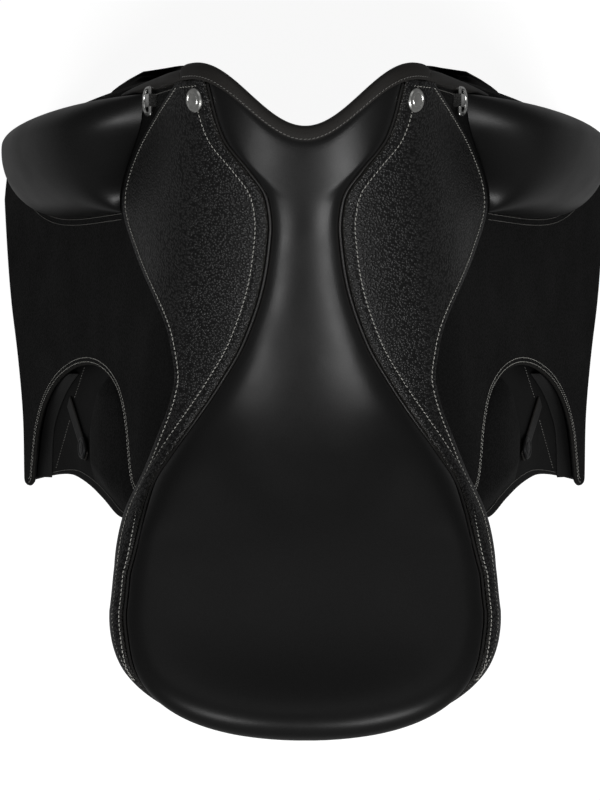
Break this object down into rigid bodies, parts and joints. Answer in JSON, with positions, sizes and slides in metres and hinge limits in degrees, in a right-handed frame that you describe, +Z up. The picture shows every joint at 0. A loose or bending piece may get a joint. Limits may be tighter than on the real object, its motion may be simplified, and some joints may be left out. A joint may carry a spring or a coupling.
{
  "type": "dressage saddle",
  "caption": "Black leather dressage saddle with a deep seat, grained skirts, long flaps with external knee blocks, flocked panels, girth billets and recessed stirrup bars on a sprung tree.",
  "frame": {"origin": "on the horse's spine line below the middle of the saddle", "axes": "+X to the rider's right, +Y to the pommel, +Z up"},
  "size_m": [0.4804, 0.462, 0.5033],
  "materials": {
    "tree_laminate": "lacquered beech laminate",
    "spring_steel": "blued spring steel",
    "forged_steel": "nickel-plated forged steel",
    "satin_steel": "satin nickel",
    "webbing": "woven nylon web",
    "foam": "closed-cell foam",
    "smooth_leather": "smooth black calf, semi-gloss",
    "block_leather": "smooth black calf, polished",
    "grained_leather": "pebble-grained black leather",
    "flap_leather": "fine-grained black leather, matt",
    "panel_leather": "soft black panel leather",
    "strap_leather": "black bridle leather"
  },
  "bodies": {
    "saddle": {"tree": "tree_laminate", "head_plate": "spring_steel", "head_rivets": "spring_steel", "tree_spring_left": "spring_steel", "tree_spring_right": "spring_steel", "stirrup_bar_left": "forged_steel", "stirrup_bar_right": "forged_steel", "bar_rivets": "forged_steel", "straining_web": "webbing", "cross_webs": "webbing", "seat_foam": "foam", "seat_cover": "smooth_leather", "pommel_facing": "grained_leather", "cantle_facing": "panel_leather", "welt_left": "strap_leather", "welt_right": "strap_leather", "skirt_root_left": "grained_leather", "skirt_root_right": "grained_leather", "saddle_nails": "satin_steel", "panel_left": "panel_leather", "panel_right": "panel_leather", "gullet_lining": "panel_leather", "sweat_flap_left": "flap_leather", "sweat_flap_right": "flap_leather", "billet_web_left": "webbing", "billet_web_right": "webbing", "thigh_pad_left": "smooth_leather", "thigh_pad_right": "smooth_leather", "thigh_roll_left": "flap_leather", "thigh_roll_right": "flap_leather", "keeper_strap_left": "strap_leather", "keeper_strap_right": "strap_leather", "keeper_studs": "satin_steel"},
    "flap_left": {"flap_left": "flap_leather", "knee_block_left": "block_leather", "dee_staple_left": "forged_steel"},
    "skirt_left": {"skirt_left": "grained_leather"},
    "bar_catch_left": {"bar_catch_left": "forged_steel"},
    "dee_ring_left": {"dee_ring_left": "forged_steel"},
    "front_billet_left": {"front_billet_left": "strap_leather"},
    "rear_billet_left": {"rear_billet_left": "strap_leather"},
    "flap_right": {"flap_right": "flap_leather", "knee_block_right": "block_leather", "dee_staple_right": "forged_steel"},
    "skirt_right": {"skirt_right": "grained_leather"},
    "bar_catch_right": {"bar_catch_right": "forged_steel"},
    "dee_ring_right": {"dee_ring_right": "forged_steel"},
    "front_billet_right": {"front_billet_right": "strap_leather"},
    "rear_billet_right": {"rear_billet_right": "strap_leather"}
  },
  "joints": [
    {"name": "flap_left_lift", "type": "hinge", "parent": "saddle", "child": "flap_left", "pos_m": [-0.0895, 0.20566, 0.0898], "axis": [0.0092, 0.9852, 0.1711], "range_deg": [0, 70]},
    {"name": "skirt_left_lift", "type": "hinge", "parent": "flap_left", "child": "skirt_left", "pos_m": [-0.0895, 0.20566, 0.0898], "axis": [0.0092, 0.9852, 0.1711], "range_deg": [0, 60]},
    {"name": "bar_catch_left_swing", "type": "hinge", "parent": "saddle", "child": "bar_catch_left", "pos_m": [-0.08591, 0.10738, 0.06048], "axis": [0.5017, 0, 0.865], "range_deg": [0, 50]},
    {"name": "dee_ring_left_swing", "type": "hinge", "parent": "flap_left", "child": "dee_ring_left", "pos_m": [-0.10815, 0.21, 0.03593], "axis": [0, 1, 0], "range_deg": [0, 100]},
    {"name": "front_billet_left_swing", "type": "hinge", "parent": "saddle", "child": "front_billet_left", "pos_m": [-0.11573, 0.1, -0.02042], "axis": [0.9397, 0, -0.342], "range_deg": [0, 8]},
    {"name": "rear_billet_left_swing", "type": "hinge", "parent": "saddle", "child": "rear_billet_left", "pos_m": [-0.11573, 0.058, -0.02042], "axis": [0.9397, 0, -0.342], "range_deg": [-8, 0]},
    {"name": "flap_right_lift", "type": "hinge", "parent": "saddle", "child": "flap_right", "pos_m": [0.0895, 0.20566, 0.0898], "axis": [0.0092, -0.9852, -0.1711], "range_deg": [0, 70]},
    {"name": "skirt_right_lift", "type": "hinge", "parent": "flap_right", "child": "skirt_right", "pos_m": [0.0895, 0.20566, 0.0898], "axis": [0.0092, -0.9852, -0.1711], "range_deg": [0, 60]},
    {"name": "bar_catch_right_swing", "type": "hinge", "parent": "saddle", "child": "bar_catch_right", "pos_m": [0.08591, 0.10738, 0.06048], "axis": [0.5017, 0, -0.865], "range_deg": [0, 50]},
    {"name": "dee_ring_right_swing", "type": "hinge", "parent": "flap_right", "child": "dee_ring_right", "pos_m": [0.10815, 0.21, 0.03593], "axis": [0, -1, 0], "range_deg": [0, 100]},
    {"name": "front_billet_right_swing", "type": "hinge", "parent": "saddle", "child": "front_billet_right", "pos_m": [0.11573, 0.1, -0.02042], "axis": [0.9397, 0, 0.342], "range_deg": [0, 8]},
    {"name": "rear_billet_right_swing", "type": "hinge", "parent": "saddle", "child": "rear_billet_right", "pos_m": [0.11573, 0.058, -0.02042], "axis": [0.9397, 0, 0.342], "range_deg": [-8, 0]}
  ]
}
